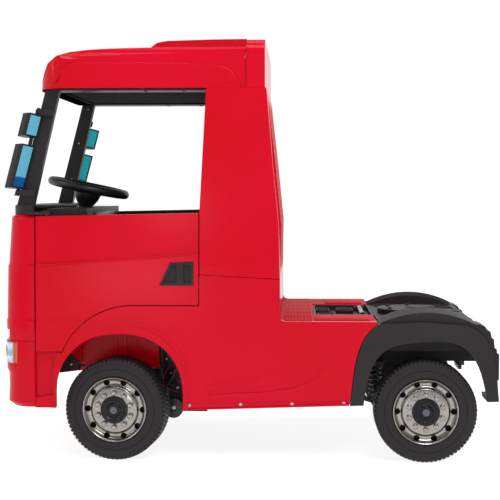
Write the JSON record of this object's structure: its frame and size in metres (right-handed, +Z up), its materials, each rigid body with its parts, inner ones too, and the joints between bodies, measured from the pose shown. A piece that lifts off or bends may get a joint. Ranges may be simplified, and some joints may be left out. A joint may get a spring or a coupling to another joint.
{
  "type": "ride-on toy lorry tractor",
  "caption": "Child's battery ride-on toy of a lorry tractor: open cab with half doors and seat, wide roof, mudguards and coupling deck at the rear, on wide plastic wheels.",
  "frame": {"origin": "on the floor, under the middle of the outline", "axes": "+X forward, +Y to the lorry's left, +Z up"},
  "size_m": [1.3265, 0.7046, 1.124],
  "materials": {
    "red_plastic": "glossy moulded",
    "black_plastic": "satin moulded",
    "tyre_plastic": "satin moulded",
    "plated_plastic": "bright satin plating on plastic",
    "black_steel": "black coated steel",
    "plated_steel": "zinc plated",
    "leatherette": "stitched leatherette over foam",
    "clear_lamp": "clear plastic lens",
    "amber_lamp": "amber plastic",
    "red_lamp": "red plastic",
    "mirror_film": "reflecting film",
    "battery_case": "sealed battery case"
  },
  "bodies": {
    "body": {"back_wall": "red_plastic", "battery": "battery_case", "bumper": "red_plastic", "cab_tub": "red_plastic", "channel_tray": "black_plastic", "chassis": "black_plastic", "coupling_deck": "black_plastic", "coupling_dish": "black_plastic", "dashboard": "black_plastic", "front_beam": "black_steel", "front_panel": "red_plastic", "grille": "black_plastic", "headlamps": "clear_lamp", "mirror_faces": "mirror_film", "mirror_left": "black_plastic", "mirror_right": "black_plastic", "mudguard_left": "black_plastic", "mudguard_right": "black_plastic", "pedal": "black_plastic", "pivot_rod": "black_steel", "quarter_left": "red_plastic", "quarter_right": "red_plastic", "rear_axle": "plated_steel", "rear_deck": "red_plastic", "rear_drives": "black_plastic", "roof": "red_plastic", "roof_lining": "black_plastic", "seat_back": "leatherette", "seat_base": "leatherette", "side_left": "red_plastic", "side_right": "red_plastic", "springs": "black_steel", "tail_lamps": "red_lamp", "turn_lamps": "amber_lamp", "windscreen_frame": "black_plastic"},
    "door_left_body": {"door_left": "red_plastic", "door_liner_left": "black_plastic", "door_grip_left": "black_plastic"},
    "door_right_body": {"door_right": "red_plastic", "door_liner_right": "black_plastic", "door_grip_right": "black_plastic"},
    "steering": {"steering_wheel": "black_plastic", "steering_rod": "black_steel"},
    "knuckle_left_body": {"knuckle_left": "black_steel"},
    "knuckle_right_body": {"knuckle_right": "black_steel"},
    "tie_rod_body": {"tie_rod": "black_steel"},
    "wheel_front_left": {"tyre_front_left": "tyre_plastic", "rim_front_left": "plated_plastic", "cap_front_left": "black_plastic"},
    "wheel_front_right": {"tyre_front_right": "tyre_plastic", "rim_front_right": "plated_plastic", "cap_front_right": "black_plastic"},
    "wheel_rear_left": {"tyre_rear_left": "tyre_plastic", "rim_rear_left": "plated_plastic", "cap_rear_left": "black_plastic"},
    "wheel_rear_right": {"tyre_rear_right": "tyre_plastic", "rim_rear_right": "plated_plastic", "cap_rear_right": "black_plastic"}
  },
  "joints": [
    {"name": "steer_left", "type": "hinge", "parent": "body", "child": "knuckle_left_body", "pos_m": [0.34, 0.214, 0.135], "axis": [0, 0, 1], "range_deg": [-18, 30]},
    {"name": "steer_right", "type": "hinge", "parent": "body", "child": "knuckle_right_body", "pos_m": [0.34, -0.214, 0.135], "axis": [0, 0, 1], "range_deg": [-18, 30]},
    {"name": "steering_wheel_turn", "type": "hinge", "parent": "body", "child": "steering", "pos_m": [0.472, 0, 0.724], "axis": [-0.2011, 0, 0.9796], "range_deg": [-36, 60]},
    {"name": "tie_rod_pivot", "type": "hinge", "parent": "knuckle_left_body", "child": "tie_rod_body", "pos_m": [0.26641, 0.22173, 0.1655], "axis": [0, 0, 1], "range_deg": [-30, 18]},
    {"name": "spin_front_left", "type": "hinge", "parent": "knuckle_left_body", "child": "wheel_front_left", "pos_m": [0.3469, 0.27964, 0.135], "axis": [0.1045, 0.9945, 0], "continuous": true},
    {"name": "spin_front_right", "type": "hinge", "parent": "knuckle_right_body", "child": "wheel_front_right", "pos_m": [0.3331, -0.27964, 0.135], "axis": [0.1045, 0.9945, 0], "continuous": true},
    {"name": "spin_rear_left", "type": "hinge", "parent": "body", "child": "wheel_rear_left", "pos_m": [-0.471, 0.28, 0.135], "axis": [0, 1, 0], "continuous": true},
    {"name": "spin_rear_right", "type": "hinge", "parent": "body", "child": "wheel_rear_right", "pos_m": [-0.471, -0.28, 0.135], "axis": [0, 1, 0], "continuous": true},
    {"name": "door_left_hinge", "type": "hinge", "parent": "body", "child": "door_left_body", "pos_m": [0.528, 0.322, 0.47], "axis": [0, 0, 1], "range_deg": [-65, 0]},
    {"name": "door_right_hinge", "type": "hinge", "parent": "body", "child": "door_right_body", "pos_m": [0.528, -0.322, 0.47], "axis": [0, 0, 1], "range_deg": [0, 65]}
  ],
  "couplings": [
    {"joint": "steer_right", "follows": "steer_left", "ratio": 1},
    {"joint": "steering_wheel_turn", "follows": "steer_left", "ratio": 2},
    {"joint": "tie_rod_pivot", "follows": "steer_left", "ratio": -1}
  ]
}
